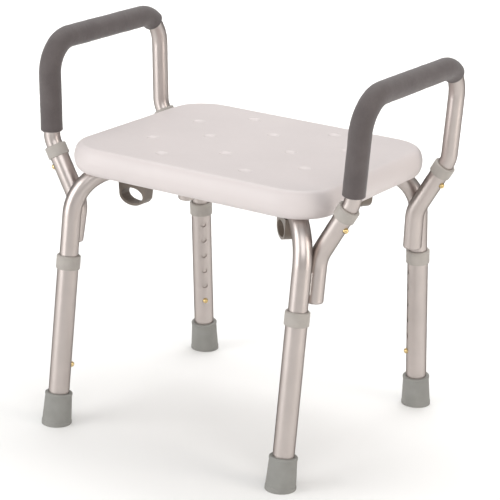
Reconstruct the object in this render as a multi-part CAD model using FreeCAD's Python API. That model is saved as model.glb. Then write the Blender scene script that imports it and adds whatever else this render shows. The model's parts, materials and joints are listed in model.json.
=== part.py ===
import FreeCAD, Part
import math
import os

# Height-adjustable shower stool with two lift-off arms.
# Origin: floor level at the middle of the four feet. +X right, -Y front, +Z up. Millimetres.

V = FreeCAD.Vector
CORNERS = {"front_left": (-1, -1), "front_right": (1, -1), "rear_left": (-1, 1), "rear_right": (1, 1)}
SIDES = {"left": -1, "right": 1}

# legs
foot_x = 181.5
foot_y = 185.0
splay = 0.0994
upper_r = 12.7
upper_wall = 1.2
lower_r = 14.3
running_gap = 0.08
lower_bore_r = upper_r + running_gap
upper_end_z = 58.0
button_z = 83.5
hole_pitch = 24.5
hole_count = 6
collar_low_z = 218.6
collar_top_z = 237.4
collar_r = 16.4
collar_lip = 2.0
washer_z = 7.0
washer_t = 1.5
foot_top_z = 44.0
foot_base_r = 20.6
foot_neck_r = 18.4

# frame of two diagonal tubes crossing under the seat
frame_z = 356.0
frame_bend_r = 67.0
weld_size = 2.4
weld_rise = 9.0

# seat
seat_w = 402.0
seat_d = 331.0
seat_t = 38.0
seat_top_z = 390.9
seat_corner_r = 59.0
seat_nose = 11.4
seat_wall = 3.0
channel_gap = 0.4
dimple_sphere_r = 19.5
dimple_depth = 2.2
dimples = [(0, 60), (0, -60), (65, 0), (-65, 0), (65, 115), (65, -115), (-65, 115), (-65, -115),
           (120, 56), (120, -56), (-120, 56), (-120, -56)]

# hand screws
screw_x = 120.4
screw_y = 93.7
stud_r = 3.0
stud_top_z = 382.0
insert_r = 5.0
insert_low_z = 370.5
insert_top_z = 384.0
boss_r = 8.5
saddle_r = 11.0
saddle_low_z = 339.6
saddle_top_z = 350.0
loop_z = 319.1
loop_hole_x = 18.0
loop_hole_z = 10.6
loop_wall = 3.5
loop_length = 17.9
loop_flare = 2.0
loop_flange_r = 10.5
loop_flange_t = 2.4
loop_turn = {"front_left": -2.2, "front_right": -44.3, "rear_left": 28.0, "rear_right": -30.0}

# arm sockets
socket_r = 12.7
socket_bore_r = 11.18
socket_dx = 7.7
socket_dy = 25.1
socket_low = {"front_left": (10.3, 23.4, 249.7), "front_right": (7.6, 24.6, 243.3),
              "rear_left": (7.7, 25.1, 246.0), "rear_right": (5.8, 28.0, 248.5)}
socket_floor = 2.0
socket_bend_z = 302.8
socket_bend_r = 45.0
socket_lean = 0.571
socket_top = 82.5
socket_collar_low = 68.0
socket_collar_top = 84.3
socket_collar_r = 14.9
arm_button_at = 57.5
arm_button_turn = 13.0
bead_r = 2.6
bead_aside = 3.6
bead_low_z = 258.0
bead_high_z = 284.0

# arms
arm_r = 11.1
arm_wall = 1.2
arm_end_at = 36.0
arm_knee_at = 93.5
arm_knee_r = 34.0
arm_top_x = 242.8
arm_top_z = 517.7
arm_corner_r = 46.0
grip_r = 15.2
grip_bore_r = 11.2
grip_low_z = 391.0
grip_bend_turn = 42.0

# spring buttons and clips
button_r = 3.95
button_hole_r = 4.03
button_lift = 4.3
button_seat_gap = 0.04
clip_t = 0.8
clip_w = 8.0
clip_leaf = 9.0
clip_tail = 26.0


def unit(v):
    return V(v).normalize()


def out_dir():
    os.makedirs("parts", exist_ok=True)


def save(name, shape):
    shape.exportStep("parts/" + name + ".step")


def bent_wire(points, radii):
    """Straight runs joined by circular bends at the inner points."""
    edges = []
    start = points[0]
    for i in range(1, len(points) - 1):
        corner = points[i]
        back = unit(points[i - 1] - corner)
        ahead = unit(points[i + 1] - corner)
        half = back.getAngle(ahead) / 2
        run = radii[i - 1] / math.tan(half)
        bisector = unit(back + ahead)
        centre = corner + bisector * (radii[i - 1] / math.sin(half))
        first = corner + back * run
        last = corner + ahead * run
        middle = centre - bisector * radii[i - 1]
        if (first - start).Length > 1e-6:
            edges.append(Part.makeLine(start, first))
        edges.append(Part.Arc(first, middle, last).toShape())
        start = last
    edges.append(Part.makeLine(start, points[-1]))
    return Part.Wire(edges)


def rod(wire, radius):
    """Round bar of the given radius along a wire."""
    edge = wire.OrderedEdges[0]
    start = wire.OrderedVertexes[0].Point
    heading = edge.tangentAt(edge.FirstParameter)
    profile = Part.Wire([Part.makeCircle(radius, start, heading)])
    return wire.makePipeShell([profile], True, False)


def tube(wire, radius, bore):
    return rod(wire, radius).cut(rod(wire, bore))


def turned(profile, origin, axis):
    """Solid of revolution from (radius, height) points."""
    corners = [V(r, 0, h) for r, h in profile]
    face = Part.Face(Part.makePolygon(corners + [corners[0]]))
    solid = face.revolve(V(0, 0, 0), V(0, 0, 1), 360)
    solid.Placement = FreeCAD.Placement(origin, FreeCAD.Rotation(V(0, 0, 1), axis))
    return solid


def strip(points, thickness, width, origin, across, along):
    """Bent flat strip: points are (across, along) pairs of its outer face."""
    side = across.cross(along)
    left = []
    right = []
    for i, point in enumerate(points):
        here = V(point[0], point[1], 0)
        normals = []
        for j in (i - 1, i):
            if 0 <= j < len(points) - 1:
                d = unit(V(points[j + 1][0] - points[j][0], points[j + 1][1] - points[j][1], 0))
                normals.append(V(-d.y, d.x, 0))
        normal = unit(sum(normals[1:], normals[0]))
        stretch = thickness / normal.dot(normals[0])
        left.append(here)
        right.append(here + normal * stretch)
    outline = left + right[::-1]
    corners = [origin + across * p.x + along * p.y - side * (width / 2) for p in outline]
    return Part.Face(Part.makePolygon(corners + [corners[0]])).extrude(side * width)


# directions and points on a leg
def leg_up(sy):
    return unit(V(0, -sy * splay, 1))


def leg_at(sx, sy, z):
    return V(sx * foot_x, sy * (foot_y - splay * z), z)


def leg_button_out(sx, sy):
    up = leg_up(sy)
    inward = V(0, -sy, 0)
    inward = unit(inward - up * inward.dot(up))
    return unit(V(-sx, 0, 0) + inward)


# directions and points on an arm socket
def socket_up(sx):
    return unit(V(sx * socket_lean, 0, 1))


def arm_button_out(sx):
    """Away from the stool, turned a little to the front."""
    up = socket_up(sx)
    turn = math.radians(arm_button_turn)
    return V(sx * up.z, 0, -sx * up.x) * math.cos(turn) + V(0, -math.sin(turn), 0)


def socket_at(sx, sy, t):
    bend = leg_at(sx, sy, socket_bend_z) + V(sx * socket_dx, -sy * socket_dy, 0)
    return bend + socket_up(sx) * t


def socket_foot(name):
    """Lowest point on the axis of a socket, which is bent and welded on by hand."""
    sx, sy = CORNERS[name]
    dx, dy, z = socket_low[name]
    return leg_at(sx, sy, z) + V(sx * dx, -sy * dy, 0)


def socket_post(name, z):
    """Point at a height on the straight lower part of a socket."""
    sx, sy = CORNERS[name]
    foot = socket_foot(name)
    bend = socket_at(sx, sy, 0)
    return foot + (bend - foot) * ((z - foot.z) / (bend.z - foot.z))


def button(origin, out, outer_r, bore_r):
    """Domed button whose stem fills the wall of the outer tube."""
    base = bore_r + button_seat_gap
    straight = outer_r + button_lift - button_r
    stem = Part.makeCylinder(button_r, straight - base, origin + out * base, out)
    dome = Part.makeSphere(button_r, origin + out * straight)
    return stem.fuse(dome.cut(Part.makeCylinder(button_r * 2, button_r * 2, origin + out * straight, out * -1)))


def radial_hole(origin, out, reach):
    return Part.makeCylinder(button_hole_r, reach, origin, out)


def clip(origin, out, up, leaf_r, back_r):
    """V-shaped spring leaf inside a tube, drawn as it sits with the button pushed in."""
    points = [(-back_r, clip_leaf), (-back_r, -clip_leaf), (0, -clip_tail), (leaf_r, -clip_leaf), (leaf_r, clip_leaf)]
    return strip(points, clip_t, clip_w, origin, out, up)


# seat
def plan_wire(inset, z):
    """Rounded-rectangle outline of the seat, drawn in by an inset."""
    x = seat_w / 2 - inset
    y = seat_d / 2 - inset
    r = seat_corner_r - inset
    k = r * (1 - math.sqrt(0.5))
    edges = [
        Part.makeLine(V(-x + r, -y, z), V(x - r, -y, z)),
        Part.Arc(V(x - r, -y, z), V(x - k, -y + k, z), V(x, -y + r, z)).toShape(),
        Part.makeLine(V(x, -y + r, z), V(x, y - r, z)),
        Part.Arc(V(x, y - r, z), V(x - k, y - k, z), V(x - r, y, z)).toShape(),
        Part.makeLine(V(x - r, y, z), V(-x + r, y, z)),
        Part.Arc(V(-x + r, y, z), V(-x + k, y - k, z), V(-x, y - r, z)).toShape(),
        Part.makeLine(V(-x, y - r, z), V(-x, -y + r, z)),
        Part.Arc(V(-x, -y + r, z), V(-x + k, -y + k, z), V(-x + r, -y, z)).toShape(),
    ]
    return Part.Wire(edges)


def seat_slab(inset, nose, top_z, thickness):
    """Slab with a half-elliptical edge all round."""
    middle_z = top_z - thickness / 2
    path = plan_wire(inset + nose, middle_z)
    start_y = -(seat_d / 2 - inset - nose)
    corner_x = -(seat_w / 2 - seat_corner_r)
    top = V(corner_x, start_y, top_z)
    bottom = V(corner_x, start_y, top_z - thickness)
    tip = V(corner_x, start_y - nose, middle_z)
    half = thickness / 2
    if half > nose:
        curve = Part.Ellipse(V(corner_x, start_y, middle_z + half), V(corner_x, start_y - nose, middle_z),
                             V(corner_x, start_y, middle_z))
    else:
        curve = Part.Ellipse(V(corner_x, start_y - nose, middle_z), V(corner_x, start_y, middle_z + half),
                             V(corner_x, start_y, middle_z))
    arcs = []
    for first, last in ((top, tip), (tip, bottom)):
        a = curve.parameter(first)
        b = curve.parameter(last)
        candidates = [Part.ArcOfEllipse(curve, a, b), Part.ArcOfEllipse(curve, b, a)]
        arcs.append(min(candidates, key=lambda arc: arc.length()).toShape())
    profile = Part.Wire(Part.__sortEdges__(arcs + [Part.makeLine(bottom, top)]))
    edge = path.makePipeShell([profile], True, True)
    core = Part.Face(plan_wire(inset + nose, top_z - thickness)).extrude(V(0, 0, thickness))
    return core.fuse(edge).removeSplitter()


def frame_wire(a, b, low_z):
    points = [leg_at(a[0], a[1], low_z), leg_at(a[0], a[1], frame_z), leg_at(b[0], b[1], frame_z),
              leg_at(b[0], b[1], low_z)]
    return bent_wire(points, [frame_bend_r, frame_bend_r])


def diagonal(sx, sy):
    return unit(leg_at(sx, sy, frame_z) - V(0, 0, frame_z))


def channel_cutters(grow):
    """Grooves in the seat's underside for the two crossing tubes."""
    r = upper_r + channel_gap + grow
    tools = []
    for sx, sy in ((-1, -1), (1, -1)):
        wire = frame_wire((sx, sy), (-sx, -sy), frame_z - 2 * frame_bend_r)
        tools.append(rod(wire, r))
    floor_z = seat_top_z - seat_t - 5
    for sx, sy in CORNERS.values():
        d = diagonal(sx, sy)
        side = V(-d.y, d.x, 0)
        straight = d * 190
        wall = Part.Face(Part.makePolygon([side * r, side * r + straight, side * -r + straight, side * -r, side * r]))
        wall = wall.extrude(V(0, 0, frame_z - floor_z))
        wall.translate(V(0, 0, floor_z))
        tools.append(wall)
    crossing = diagonal(1, 1).getAngle(diagonal(1, -1)) / 2
    weld_reach = (upper_r + weld_size) / math.sin(crossing) + channel_gap + grow
    weld_top = frame_z + weld_rise + channel_gap + grow
    tools.append(Part.makeCylinder(weld_reach, weld_top - floor_z, V(0, 0, floor_z)))
    return tools[0].fuse(tools[1:])


def screw_point(sx, sy, z):
    return V(sx * screw_x, sy * screw_y, z)


def build_seat():
    seat = seat_slab(0, seat_nose, seat_top_z, seat_t)
    hollow = seat_slab(seat_wall, seat_nose - seat_wall, seat_top_z - seat_wall, seat_t - 2 * seat_wall)
    hollow = hollow.cut(channel_cutters(seat_wall))
    bosses = []
    pockets = []
    for sx, sy in CORNERS.values():
        low = screw_point(sx, sy, frame_z)
        bosses.append(Part.makeCylinder(boss_r, seat_top_z - frame_z, low))
        pockets.append(Part.makeCylinder(insert_r + 0.05, insert_top_z + 0.3 - frame_z, low))
    dents = []
    for x, y in dimples:
        centre = V(x, y, seat_top_z + dimple_sphere_r - dimple_depth)
        dents.append(Part.makeSphere(dimple_sphere_r, centre))
        bosses.append(Part.makeSphere(dimple_sphere_r + seat_wall, centre))
    hollow = hollow.cut(bosses)
    seat = seat.cut(channel_cutters(0)).cut(pockets).cut(dents)
    seat = seat.cut(hollow)
    return seat


def build_frame():
    outer_a = rod(frame_wire((-1, -1), (1, 1), upper_end_z), upper_r)
    inner_a = rod(frame_wire((-1, -1), (1, 1), upper_end_z), upper_r - upper_wall)
    outer_b = rod(frame_wire((1, -1), (-1, 1), upper_end_z), upper_r)
    inner_b = rod(frame_wire((1, -1), (-1, 1), upper_end_z), upper_r - upper_wall)
    holes = []
    for sx, sy in CORNERS.values():
        holes.append(radial_hole(leg_at(sx, sy, button_z), leg_button_out(sx, sy), upper_r + 2))
        holes.append(Part.makeCylinder(stud_r + 0.4, 2 * upper_r + 4, screw_point(sx, sy, frame_z - upper_r - 2)))
    along_a = diagonal(-1, -1)
    through_a = Part.makeCylinder(upper_r + 0.02, 200, along_a * -100 + V(0, 0, frame_z), along_a)
    long_tube = outer_a.cut(inner_a).cut(holes)
    halves = outer_b.cut(inner_b).cut(through_a).cut(holes)
    solids = sorted(halves.Solids, key=lambda s: s.CenterOfMass.y)
    save("frame_tube_long", long_tube)
    save("frame_tube_front", solids[0])
    save("frame_tube_rear", solids[-1])
    along_b = diagonal(1, -1)
    band = Part.makeCylinder(upper_r + weld_size, 80, along_b * -40 + V(0, 0, frame_z), along_b)
    sleeve = Part.makeCylinder(upper_r + weld_size, 80, along_a * -40 + V(0, 0, frame_z), along_a)
    core = Part.makeCylinder(upper_r + 0.04, 80, along_b * -40 + V(0, 0, frame_z), along_b)
    middle = Part.makeCylinder(upper_r + 0.04, 80, along_a * -40 + V(0, 0, frame_z), along_a)
    lid = Part.makeCylinder(60, 20, V(0, 0, frame_z + weld_rise))
    bead = sleeve.common(band).cut([core, middle, lid])
    save("cross_weld", Part.makeCompound(bead.Solids))
    return outer_a.fuse(outer_b)


def socket_wire(name, floor):
    sx, sy = CORNERS[name]
    low = socket_post(name, socket_low[name][2] + floor)
    return bent_wire([low, socket_at(sx, sy, 0), socket_at(sx, sy, socket_top)], [socket_bend_r])


def weld_bead(name, lateral):
    """Filler in the groove between a leg and its socket, on one side."""
    sx, sy = CORNERS[name]
    ends = []
    for z in (bead_low_z, bead_high_z):
        leg = leg_at(sx, sy, z)
        post = socket_post(name, z)
        side = unit(V(leg.y - post.y, post.x - leg.x, 0)) * lateral
        ends.append((leg + post) * 0.5 + side * bead_aside)
    run = ends[1] - ends[0]
    bar = Part.makeCylinder(bead_r, run.Length, ends[0], run)
    for end in ends:
        bar = bar.fuse(Part.makeSphere(bead_r, end))
    leg_low = leg_at(sx, sy, bead_low_z - 20)
    post_low = socket_post(name, bead_low_z - 20)
    post_run = socket_post(name, bead_high_z + 20) - post_low
    keep = bar.cut([Part.makeCylinder(upper_r + 0.02, 80, leg_low, leg_up(sy)),
                    Part.makeCylinder(socket_r + 0.02, post_run.Length, post_low, post_run)])
    return max(keep.Solids, key=lambda s: s.CenterOfMass.sub(ends[0]).dot(side))


def build_sockets(frame_outer):
    beads = []
    for name, (sx, sy) in CORNERS.items():
        body = rod(socket_wire(name, 0), socket_r)
        foot = socket_foot(name)
        foot_edge = [e for e in body.Edges if e.BoundBox.Center.sub(foot).Length < 2 and e.Length > 50]
        body = body.makeFillet(3.0, foot_edge[:1])
        hollow = rod(socket_wire(name, socket_floor), socket_bore_r)
        hole = radial_hole(socket_at(sx, sy, arm_button_at), arm_button_out(sx), socket_r + 2)
        socket = body.cut(hollow).cut([hole, frame_outer])
        save("arm_socket_" + name, max(socket.Solids, key=lambda s: s.Volume))
        profile = [
            (socket_r + 0.05, socket_collar_low), (socket_collar_r - 0.6, socket_collar_low),
            (socket_collar_r, socket_collar_low + 0.6), (socket_collar_r, socket_collar_top - 1.2),
            (socket_collar_r - 1.2, socket_collar_top), (arm_r + 0.1, socket_collar_top),
            (arm_r + 0.1, socket_top + 0.05), (socket_r + 0.05, socket_top + 0.05),
        ]
        save("socket_collar_" + name, turned(profile, socket_at(sx, sy, 0), socket_up(sx)))
        beads.append(weld_bead(name, -1))
        beads.append(weld_bead(name, 1))
    save("socket_welds", Part.makeCompound(beads))


def build_lower_legs():
    for name, (sx, sy) in CORNERS.items():
        up = leg_up(sy)
        base = leg_at(sx, sy, 0)
        rise = V(0, -sy * splay, 1).Length
        out = leg_button_out(sx, sy)
        low = washer_z + washer_t + 0.1
        top = collar_top_z * rise - collar_lip
        body = turned([(lower_bore_r, low), (lower_r, low), (lower_r, top), (lower_bore_r, top)], base, up)
        holes = [radial_hole(leg_at(sx, sy, button_z) + up * (hole_pitch * i), out, lower_r + 2)
                 for i in range(hole_count)]
        save("leg_tube_" + name, body.cut(holes))
        c_low = collar_low_z * rise
        c_top = collar_top_z * rise
        profile = [
            (lower_r + 0.05, c_low), (collar_r - 0.5, c_low), (collar_r, c_low + 0.5), (collar_r, c_top - 1.4),
            (collar_r - 1.4, c_top), (lower_bore_r + 0.1, c_top), (lower_bore_r + 0.1, top + 0.05),
            (lower_r + 0.05, top + 0.05),
        ]
        save("leg_collar_" + name, turned(profile, base, up))
        f_top = foot_top_z * rise
        profile = [
            (0, -4), (foot_base_r, -4), (foot_base_r, 4.5), (foot_base_r - 0.5, 5.0), (foot_neck_r, f_top - 4),
            (foot_neck_r + 0.5, f_top - 3.5), (foot_neck_r + 0.5, f_top - 1), (foot_neck_r - 0.5, f_top),
            (lower_r + 0.05, f_top), (lower_r + 0.05, washer_z - 0.05), (0, washer_z - 0.05),
        ]
        foot = turned(profile, base, up)
        foot = foot.cut(Part.makeBox(80, 80, 20, V(base.x - 40, base.y - 40, -20)))
        save("leg_foot_" + name, foot)
        save("foot_washer_" + name, turned([(0, washer_z), (lower_r - 0.3, washer_z),
                                            (lower_r - 0.3, washer_z + washer_t), (0, washer_z + washer_t)], base, up))
        save("leg_button_" + name, button(leg_at(sx, sy, button_z), out, lower_r, lower_bore_r))


def build_leg_clips():
    clips = []
    for sx, sy in CORNERS.values():
        clips.append(clip(leg_at(sx, sy, button_z), leg_button_out(sx, sy), leg_up(sy), 8.6, 10.2))
    save("leg_clips", Part.makeCompound(clips))


def arm_wire(sx):
    front_low = socket_at(sx, -1, arm_end_at)
    front_knee = socket_at(sx, -1, arm_knee_at)
    y = front_knee.y
    front_top = V(sx * arm_top_x, y, arm_top_z)
    points = [front_low, front_knee, front_top, V(sx * arm_top_x, -y, arm_top_z), V(front_knee.x, -y, front_knee.z),
              V(front_low.x, -y, front_low.z)]
    return bent_wire(points, [arm_knee_r, arm_corner_r, arm_corner_r, arm_knee_r])


def grip_wire(sx):
    """Centre line of the foam: up the front post, over the bend, along the bar and part way round the rear bend."""
    edges = arm_wire(sx).OrderedEdges
    post, bend, bar, rear = edges[2], edges[3], edges[4], edges[5]
    ends = sorted((v.Point for v in post.Vertexes), key=lambda p: p.z)
    share = (grip_low_z - ends[0].z) / (ends[1].z - ends[0].z)
    low = ends[0] + (ends[1] - ends[0]) * share
    first = min((v.Point for v in rear.Vertexes), key=lambda p: p.y)
    centre = rear.Curve.Center
    spoke = first - centre
    over = unit(V(0, 1, 0) - spoke * (V(0, 1, 0).dot(spoke) / spoke.dot(spoke)))
    arc_points = []
    for turn in (grip_bend_turn / 2, grip_bend_turn):
        a = math.radians(turn)
        arc_points.append(centre + spoke * math.cos(a) + over * (arm_corner_r * math.sin(a)))
    tail = Part.Arc(first, arc_points[0], arc_points[1]).toShape()
    return Part.Wire([Part.makeLine(low, ends[1]), bend, bar, tail])


def build_arms():
    for side, sx in SIDES.items():
        wire = arm_wire(sx)
        body = tube(wire, arm_r, arm_r - arm_wall)
        holes = []
        clips = []
        out = arm_button_out(sx)
        for sy in (-1, 1):
            at = socket_at(sx, sy, arm_button_at)
            holes.append(radial_hole(at, out, arm_r + 2))
            clips.append(clip(at, out, socket_up(sx), 7.2, 8.5))
        save("arm_tube_" + side, body.cut(holes))
        save("arm_clips_" + side, Part.makeCompound(clips))
        foam = grip_wire(sx)
        save("arm_grip_" + side, rod(foam, grip_r).cut(rod(foam, grip_bore_r)))
    for name, (sx, sy) in CORNERS.items():
        save("arm_button_" + name, button(socket_at(sx, sy, arm_button_at), arm_button_out(sx), socket_r, socket_bore_r))


def oval(centre, side, half_x, half_z):
    """Upright elliptical face about a point."""
    up = V(0, 0, 1)
    curve = Part.Ellipse(V(half_x, 0, 0), V(0, half_z, 0), V(0, 0, 0))
    wire = Part.Wire([curve.toShape()])
    wire.Placement = FreeCAD.Placement(centre, FreeCAD.Rotation(side, up, side.cross(up), "XYZ"))
    return Part.Face(wire)


def finger_loop(centre, angle, flange_low):
    """Oval loop with a straight-sided neck that widens a little up to its flange."""
    axis = V(math.sin(angle), -math.cos(angle), 0)
    side = V(math.cos(angle), math.sin(angle), 0)
    back = axis * (loop_length / 2)
    half_x = loop_hole_x + loop_wall
    ring = oval(centre - back, side, half_x, loop_hole_z + loop_wall).extrude(axis * loop_length)
    rise = V(0, 0, flange_low - centre.z)
    neck_points = [centre - side * half_x, centre + side * half_x, centre + side * (half_x + loop_flare) + rise,
                   centre - side * (half_x + loop_flare) + rise]
    neck = Part.Face(Part.makePolygon(neck_points + [neck_points[0]])).extrude(axis * loop_length)
    neck.translate(back * -1)
    flange = Part.makeCylinder(loop_flange_r, loop_flange_t, centre + rise)
    eye = oval(centre - axis * loop_length, side, loop_hole_x, loop_hole_z).extrude(axis * (2 * loop_length))
    return ring.fuse([flange, neck]).cut(eye)


def build_hand_screws():
    inserts = []
    saddles = []
    stud_low = loop_z + loop_hole_z + 1.6
    flange_low = saddle_low_z - 0.2 - loop_flange_t
    for name, (sx, sy) in CORNERS.items():
        foot = screw_point(sx, sy, 0)
        along = diagonal(sx, sy)
        pipe_start = along * (foot.dot(along) - 30) + V(0, 0, frame_z)
        pipe = Part.makeCylinder(upper_r + 0.05, 60, pipe_start, along)
        saddle = Part.makeCylinder(saddle_r, saddle_top_z - saddle_low_z, foot + V(0, 0, saddle_low_z))
        bore = Part.makeCylinder(stud_r + 0.3, 20, foot + V(0, 0, saddle_low_z - 2))
        saddles.append(saddle.cut([pipe, bore]))
        inserts.append(turned([(stud_r + 0.06, insert_low_z), (insert_r, insert_low_z), (insert_r, insert_top_z),
                               (0, insert_top_z), (0, insert_top_z - 1), (stud_r + 0.06, insert_top_z - 1)],
                              foot, V(0, 0, 1)))
        loop = finger_loop(foot + V(0, 0, loop_z), math.radians(loop_turn[name]), flange_low)
        well = Part.makeCylinder(stud_r + 0.02, 20, foot + V(0, 0, stud_low - 0.02))
        save("screw_loop_" + name, loop.cut(well).removeSplitter())
        save("screw_stud_" + name, Part.makeCylinder(stud_r, stud_top_z - stud_low, foot + V(0, 0, stud_low)))
    save("seat_inserts", Part.makeCompound(inserts))
    save("tube_saddles", Part.makeCompound(saddles))


out_dir()
save("seat_panel", build_seat())
build_sockets(build_frame())
build_lower_legs()
build_leg_clips()
build_arms()
build_hand_screws()
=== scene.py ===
import json
import math

import bpy
from mathutils import Matrix, Vector, noise


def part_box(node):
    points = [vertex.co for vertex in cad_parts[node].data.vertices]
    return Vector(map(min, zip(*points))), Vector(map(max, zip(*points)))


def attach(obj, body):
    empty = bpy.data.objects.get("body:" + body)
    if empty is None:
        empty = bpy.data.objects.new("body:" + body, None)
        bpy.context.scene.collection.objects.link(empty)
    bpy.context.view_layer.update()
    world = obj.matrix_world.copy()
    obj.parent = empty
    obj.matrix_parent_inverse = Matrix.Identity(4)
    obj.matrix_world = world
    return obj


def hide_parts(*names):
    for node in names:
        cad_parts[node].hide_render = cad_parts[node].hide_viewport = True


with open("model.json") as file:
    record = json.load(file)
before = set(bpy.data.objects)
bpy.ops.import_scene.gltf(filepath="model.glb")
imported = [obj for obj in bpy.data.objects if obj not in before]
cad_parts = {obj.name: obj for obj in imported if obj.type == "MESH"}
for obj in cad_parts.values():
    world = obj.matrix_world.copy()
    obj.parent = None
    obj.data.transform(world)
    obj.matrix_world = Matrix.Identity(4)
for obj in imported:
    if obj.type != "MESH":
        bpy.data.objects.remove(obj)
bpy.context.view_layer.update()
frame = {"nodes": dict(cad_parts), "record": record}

# arm tube and foam grip, metres
arm_r = 0.0111
grip_r = 0.0152
grip_bore_r = 0.0112
arm_corner_r = 0.046
knee_x = 0.2356
knee_z = 0.3840
grip_low_z = {-1: 0.395, 1: 0.391}
grip_bend_turn = 42.0
grip_ring_step = 0.0016
grip_skin_inset = 0.0002
grip_bore_gap = 0.0001
grip_lip_share = 0.42
grip_face_share = 0.25
slack_depth = 0.00030
pore_depth = 0.00012
fold_depth = 0.00055
fold_pitch = 1700
bend_window = 6
full_bend = 0.3

# camera
camera_azimuth = 31.731
camera_elevation = 18.053
camera_roll = 2.237
camera_distance = 2.872353
camera_target = Vector((0.049241, -0.068698, 0.267788))
camera_sensor = 36.0
camera_lens = camera_sensor * 2156.249 / 500.0


# ---------------------------------------------------------------- materials
class Tree:
    """Small helper for building a material's nodes."""

    def __init__(self, name):
        self.material = bpy.data.materials.new(name)
        self.material.use_nodes = True
        self.nodes = self.material.node_tree.nodes
        self.links = self.material.node_tree.links
        self.shader = self.nodes["Principled BSDF"]
        self.coords = self.nodes.new("ShaderNodeTexCoord")

    def set(self, **values):
        for key, value in values.items():
            self.shader.inputs[key.replace("_", " ")].default_value = value

    def scaled(self, scale):
        mapping = self.nodes.new("ShaderNodeMapping")
        mapping.inputs["Scale"].default_value = scale
        self.links.new(self.coords.outputs["Object"], mapping.inputs["Vector"])
        return mapping.outputs["Vector"]

    def noise(self, scale, detail=2.0, roughness=0.5, vector=None):
        node = self.nodes.new("ShaderNodeTexNoise")
        node.inputs["Scale"].default_value = scale
        node.inputs["Detail"].default_value = detail
        node.inputs["Roughness"].default_value = roughness
        self.links.new(vector or self.coords.outputs["Object"], node.inputs["Vector"])
        return node.outputs["Fac"]

    def voronoi(self, scale):
        node = self.nodes.new("ShaderNodeTexVoronoi")
        node.inputs["Scale"].default_value = scale
        self.links.new(self.coords.outputs["Object"], node.inputs["Vector"])
        return node.outputs["Distance"]

    def ramp(self, fac, stops):
        node = self.nodes.new("ShaderNodeValToRGB")
        elements = node.color_ramp.elements
        while len(elements) < len(stops):
            elements.new(0.5)
        for element, (place, colour) in zip(elements, stops):
            element.position = place
            element.color = (*colour, 1.0)
        self.links.new(fac, node.inputs["Fac"])
        return node.outputs["Color"]

    def spread(self, fac, low, high, start=0.0, end=1.0):
        node = self.nodes.new("ShaderNodeMapRange")
        for key, value in (("From Min", start), ("From Max", end), ("To Min", low), ("To Max", high)):
            node.inputs[key].default_value = value
        self.links.new(fac, node.inputs["Value"])
        return node.outputs["Result"]

    def mix(self, fac, a, b, blend="MIX"):
        node = self.nodes.new("ShaderNodeMix")
        node.data_type = "RGBA"
        node.blend_type = blend
        for socket, value in (("Factor", fac), ("A", a), ("B", b)):
            slot = [s for s in node.inputs if s.name == socket and s.enabled][0]
            if isinstance(value, bpy.types.NodeSocket):
                self.links.new(value, slot)
            else:
                slot.default_value = value if socket == "Factor" else (*value, 1.0)
        return [s for s in node.outputs if s.enabled][0]

    def bumps(self, layers):
        """Stacks (height, strength, distance) layers into the shader's normal."""
        previous = None
        for height, strength, distance in layers:
            node = self.nodes.new("ShaderNodeBump")
            node.inputs["Strength"].default_value = strength
            node.inputs["Distance"].default_value = distance
            self.links.new(height, node.inputs["Height"])
            if previous:
                self.links.new(previous, node.inputs["Normal"])
            previous = node.outputs["Normal"]
        self.links.new(previous, self.shader.inputs["Normal"])

    def colour(self, socket):
        self.links.new(socket, self.shader.inputs["Base Color"])

    def rough(self, socket):
        self.links.new(socket, self.shader.inputs["Roughness"])


def seat_material():
    t = Tree("seat_moulded_plastic")
    t.set(Metallic=0.0, IOR=1.5)
    cloud = t.noise(9.0, 3.0)
    t.colour(t.ramp(cloud, [(0.3, (0.605, 0.553, 0.545)), (0.7, (0.630, 0.577, 0.568))]))
    t.rough(t.spread(t.noise(160.0, 2.0), 0.40, 0.52))
    grain = t.noise(1400.0, 2.0)
    wave = t.noise(22.0, 2.0)
    t.bumps([(wave, 0.25, 0.002), (grain, 0.25, 0.0002)])
    return t.material


def aluminium_material(name, tint):
    t = Tree(name)
    # painted shade: the near-black specular edge tint darkens every tube's grazing edges, standing in for
    # dark surroundings reflected there rather than a colour of the aluminium
    t.set(Metallic=1.0, Specular_Tint=(0.02, 0.02, 0.02, 1.0))
    dark = tuple(c * 0.93 for c in tint)
    t.colour(t.ramp(t.noise(35.0, 4.0), [(0.3, dark), (0.7, tint)]))
    streak = t.noise(1.0, 3.0, vector=t.scaled((900.0, 900.0, 14.0)))
    t.rough(t.spread(streak, 0.28, 0.40))
    t.bumps([(streak, 0.10, 0.0001), (t.noise(2500.0, 1.0), 0.06, 0.0001)])
    return t.material


def moulded_material(name, base, low=0.45, high=0.6, grain_scale=1800.0, grain=0.3):
    t = Tree(name)
    t.set(Metallic=0.0, IOR=1.48)
    dark = tuple(c * 0.86 for c in base)
    t.colour(t.ramp(t.noise(60.0, 4.0), [(0.3, dark), (0.7, base)]))
    t.rough(t.spread(t.noise(240.0, 3.0), low, high))
    t.bumps([(t.noise(grain_scale, 2.0), grain, 0.0002), (t.noise(120.0, 2.0), 0.12, 0.0006)])
    return t.material


def foam_material():
    t = Tree("grip_foam_cells")
    t.set(Metallic=0.0, IOR=1.35, Sheen_Weight=0.2, Sheen_Roughness=0.5)
    pores = t.voronoi(1500.0)
    base = t.ramp(t.noise(45.0, 4.0), [(0.3, (0.094, 0.078, 0.077)), (0.7, (0.120, 0.101, 0.099))])
    t.colour(t.mix(t.spread(pores, 0.0, 0.5, 0.25, 0.6), base, (0.07, 0.06, 0.06)))
    t.rough(t.spread(t.noise(300.0, 3.0), 0.50, 0.66))
    t.bumps([(pores, 0.35, 0.0004), (t.noise(150.0, 3.0), 0.25, 0.0008)])
    return t.material


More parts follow.
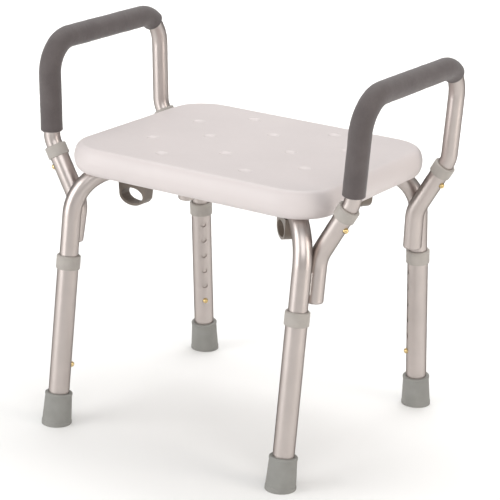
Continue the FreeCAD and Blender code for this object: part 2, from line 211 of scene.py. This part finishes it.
def brass_material():
    t = Tree("button_brass_polished")
    t.set(Metallic=1.0)
    t.colour(t.ramp(t.noise(300.0, 3.0), [(0.35, (0.50, 0.36, 0.15)), (0.65, (0.80, 0.62, 0.32))]))
    t.rough(t.spread(t.noise(700.0, 2.0), 0.18, 0.34))
    t.bumps([(t.noise(1500.0, 2.0), 0.1, 0.0001)])
    return t.material


def weld_material():
    t = Tree("weld_bead_ripple")
    t.set(Metallic=1.0)
    t.colour(t.ramp(t.noise(500.0, 3.0), [(0.3, (0.50, 0.46, 0.44)), (0.7, (0.72, 0.68, 0.65))]))
    t.rough(t.spread(t.noise(600.0, 2.0), 0.25, 0.45))
    ripple = t.noise(1.0, 1.0, vector=t.scaled((120.0, 120.0, 520.0)))
    t.bumps([(ripple, 0.6, 0.0006)])
    return t.material


def steel_material():
    t = Tree("plated_steel")
    t.set(Metallic=1.0)
    t.colour(t.ramp(t.noise(120.0, 3.0), [(0.3, (0.48, 0.48, 0.47)), (0.7, (0.62, 0.62, 0.61))]))
    t.rough(t.spread(t.noise(500.0, 2.0), 0.25, 0.4))
    t.bumps([(t.noise(900.0, 2.0), 0.1, 0.0001)])
    return t.material


warm_aluminium = (0.55, 0.495, 0.47)
looks = {
    "seat_plastic": seat_material(),
    "frame_aluminium": aluminium_material("frame_satin_aluminium", warm_aluminium),
    "socket_aluminium": aluminium_material("socket_satin_aluminium", warm_aluminium),
    "leg_aluminium": aluminium_material("leg_satin_aluminium", warm_aluminium),
    "arm_aluminium": aluminium_material("arm_satin_aluminium", warm_aluminium),
    "weld_aluminium": weld_material(),
    "collar_plastic": moulded_material("collar_moulded_plastic", (0.40, 0.37, 0.34)),
    "foot_rubber": moulded_material("foot_moulded_rubber", (0.265, 0.262, 0.245), 0.6, 0.78, 1200.0, 0.45),
    "grip_foam": foam_material(),
    "button_brass": brass_material(),
    "loop_plastic": moulded_material("loop_moulded_plastic", (0.17, 0.14, 0.115), 0.35, 0.5),
    "saddle_plastic": moulded_material("saddle_moulded_plastic", (0.25, 0.23, 0.21)),
    "brass_insert": brass_material(),
    "clip_steel": steel_material(),
    "washer_steel": steel_material(),
    "stud_steel": steel_material(),
}
node_slot = {entry["node"]: entry["material_slot"] for entry in frame["record"]["subparts"]}
for node, cad_object in frame["nodes"].items():
    look = looks[node_slot[node]]
    if not cad_object.material_slots:
        cad_object.data.materials.append(look)
    for material_slot in cad_object.material_slots:
        material_slot.material = look


# ---------------------------------------------------------------- foam grips
def bent_path(points, radii, step):
    """Evenly spaced (point, heading) samples along straight runs joined by circular bends."""
    samples = []
    start = points[0]

    def run_to(first, last):
        length = (last - first).length
        count = max(1, round(length / step))
        for k in range(count):
            samples.append((first.lerp(last, k / count), (last - first).normalized()))

    for i in range(1, len(points) - 1):
        back = (points[i - 1] - points[i]).normalized()
        ahead = (points[i + 1] - points[i]).normalized()
        half = back.angle(ahead) / 2
        run = radii[i - 1] / math.tan(half)
        centre = points[i] + (back + ahead).normalized() * (radii[i - 1] / math.sin(half))
        first = points[i] + back * run
        run_to(start, first)
        spoke = first - centre
        turn = math.pi - 2 * half
        axis = spoke.cross(-back)
        count = max(2, round(radii[i - 1] * turn / step))
        for k in range(count):
            spin = Matrix.Rotation(turn * k / count, 3, axis)
            samples.append((centre + spin @ spoke, (spin @ -back).normalized()))
        start = points[i] + ahead * run
    run_to(start, points[-1])
    samples.append((points[-1], (points[-1] - start).normalized()))
    return samples


def grip_samples(side):
    """Centre line of one foam sleeve, cut to its length."""
    low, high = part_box("arm_tube_left" if side < 0 else "arm_tube_right")
    top_x = max(abs(low[0]), abs(high[0])) - arm_r
    top_z = high[2] - arm_r
    y = high[1] - arm_r
    knee = Vector((side * knee_x, -y, knee_z))
    top_front = Vector((side * top_x, -y, top_z))
    top_rear = Vector((side * top_x, y, top_z))
    rear_knee = Vector((side * knee_x, y, knee_z))
    full = bent_path([knee, top_front, top_rear, rear_knee], [arm_corner_r, arm_corner_r], grip_ring_step)
    limit = math.sin(math.radians(grip_bend_turn))
    kept = []
    for point, heading in full:
        if point.y < 0 and heading.z > 0.5 and point.z < grip_low_z[side]:
            continue
        if point.y > 0 and -heading.z > limit:
            break
        kept.append((point, heading))
    return kept


def grip_mesh(name, side, around=72):
    """Foam sleeve: hollow tube with soft rounded ends, slack spots and folds inside the bends."""
    samples = grip_samples(side)
    travelled = [0.0]
    for a, b in zip(samples, samples[1:]):
        travelled.append(travelled[-1] + (b[0] - a[0]).length)
    total = travelled[-1]
    wall = grip_r - grip_bore_r
    lip = wall * grip_lip_share
    face_r = grip_r - lip - wall * grip_face_share
    middle = Vector((side * knee_x, 0, (knee_z + samples[0][0].z) / 2 + 0.05))
    vertices = []
    faces = []
    rings = []
    across = Vector((side, 0, 0))

    def ring(point, heading, radius, s, bend, rough):
        u = (across - heading * across.dot(heading)).normalized()
        v = heading.cross(u)
        first = len(vertices)
        for k in range(around):
            a = 2 * math.pi * k / around
            d = u * math.cos(a) + v * math.sin(a)
            r = radius
            if rough:
                here = point + d * radius
                r += slack_depth * noise.noise(here * 45) + pore_depth * noise.noise(here * 170)
                inward = max(0.0, d.dot((middle - point).normalized()))
                wave = 0.5 + 0.5 * math.sin(s * fold_pitch + 1.5 * noise.noise(here * 60))
                r -= fold_depth * bend * inward ** 3 * wave
            vertices.append(point + d * r)
        rings.append(first)

    bends = []
    for i in range(len(samples)):
        a = samples[max(0, i - bend_window)][1]
        b = samples[min(len(samples) - 1, i + bend_window)][1]
        bends.append(min(1.0, a.angle(b) / full_bend))
    for i, (point, heading) in enumerate(samples):
        s = travelled[i]
        edge = min(s, total - s)
        drop = 0.0
        if edge < lip:
            drop = lip - math.sqrt(max(0.0, lip * lip - (lip - edge) ** 2))
        ring(point, heading, grip_r - grip_skin_inset - drop, s, bends[i], True)
    outer = list(rings)
    end = samples[-1]
    ring(end[0], end[1], face_r, 0, 0, False)
    for point, heading in reversed(samples):
        ring(point, heading, grip_bore_r + grip_bore_gap, 0, 0, False)
    begin = samples[0]
    ring(begin[0], begin[1], face_r, 0, 0, False)
    order = rings + [outer[0]]
    for a, b in zip(order, order[1:]):
        for k in range(around):
            n = (k + 1) % around
            faces.append((a + k, a + n, b + n, b + k))
    mesh = bpy.data.meshes.new(name)
    mesh.from_pydata([tuple(v) for v in vertices], [], faces)
    mesh.validate()
    mesh.update()
    for polygon in mesh.polygons:
        polygon.use_smooth = True
    piece = bpy.data.objects.new(name, mesh)
    bpy.context.scene.collection.objects.link(piece)
    mesh.materials.append(looks["grip_foam"])
    return piece


for side_name, side_sign in (("left", -1), ("right", 1)):
    grip = grip_mesh("foam_grip_" + side_name, side_sign)
    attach(grip, "arm_" + side_name)
    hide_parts("arm_grip_" + side_name)


# ---------------------------------------------------------------- stage
def stage_plane(name, size, location, colour, roughness):
    mesh = bpy.data.meshes.new(name)
    h = size / 2
    mesh.from_pydata([(-h, -h, 0), (h, -h, 0), (h, h, 0), (-h, h, 0)], [], [(0, 1, 2, 3)])
    plane = bpy.data.objects.new(name, mesh)
    plane.location = location
    bpy.context.scene.collection.objects.link(plane)
    t = Tree(name + "_finish")
    t.set(Metallic=0.0)
    t.shader.inputs["Base Color"].default_value = (*colour, 1.0)
    t.shader.inputs["Roughness"].default_value = roughness
    mesh.materials.append(t.material)


stage_plane("studio_floor", 40.0, (0, 0, 0), (0.90, 0.90, 0.89), 0.9)


def area_light(name, location, target, size, power, colour=(1, 1, 1), spread=180):
    data = bpy.data.lights.new(name, "AREA")
    data.shape = "RECTANGLE"
    data.size, data.size_y = size
    data.energy = power
    data.color = colour
    data.spread = math.radians(spread)
    light = bpy.data.objects.new(name, data)
    light.location = location
    direction = Vector(target) - Vector(location)
    light.rotation_euler = direction.to_track_quat("-Z", "Y").to_euler()
    bpy.context.scene.collection.objects.link(light)


stool_middle = (0, 0, 0.25)
area_light("left_softbox", (-1.55, -2.30, 1.0), stool_middle, (1.9, 2.2), 42)
area_light("right_softbox", (2.10, 0.10, 0.9), stool_middle, (0.9, 1.8), 15, (1.0, 0.94, 0.88))
area_light("front_softbox", (1.6, -2.2, 2.0), stool_middle, (2.6, 2.0), 32)
area_light("top_softbox", (-0.3, 0.9, 2.6), (0, 0.6, 0), (3.0, 3.0), 34)
area_light("rear_floor_softbox", (-1.7, 3.0, 3.2), (-1.7, 3.0, 0), (4.5, 4.5), 60, spread=75)

world = bpy.data.worlds.new("studio_world")
bpy.context.scene.world = world
world.use_nodes = True
background = world.node_tree.nodes["Background"]
background.inputs["Color"].default_value = (1.0, 0.99, 0.98, 1.0)
background.inputs["Strength"].default_value = 0.45

azimuth = math.radians(camera_azimuth)
elevation = math.radians(camera_elevation)
roll = math.radians(camera_roll)
level_back = Vector((math.sin(azimuth), -math.cos(azimuth), 0))
back = level_back * math.cos(elevation) + Vector((0, 0, math.sin(elevation)))
level = Vector((0, 0, 1)).cross(back).normalized()
upright = back.cross(level)
right = level * math.cos(roll) + upright * math.sin(roll)
up = upright * math.cos(roll) - level * math.sin(roll)
camera_data = bpy.data.cameras.new("photo_camera")
camera_data.sensor_width = camera_sensor
camera_data.lens = camera_lens
camera = bpy.data.objects.new("photo_camera", camera_data)
turn = Matrix((right, up, back)).transposed().to_4x4()
camera.matrix_world = Matrix.Translation(camera_target + back * camera_distance) @ turn
bpy.context.scene.collection.objects.link(camera)
bpy.context.scene.camera = camera
bpy.context.scene.view_settings.view_transform = "Standard"
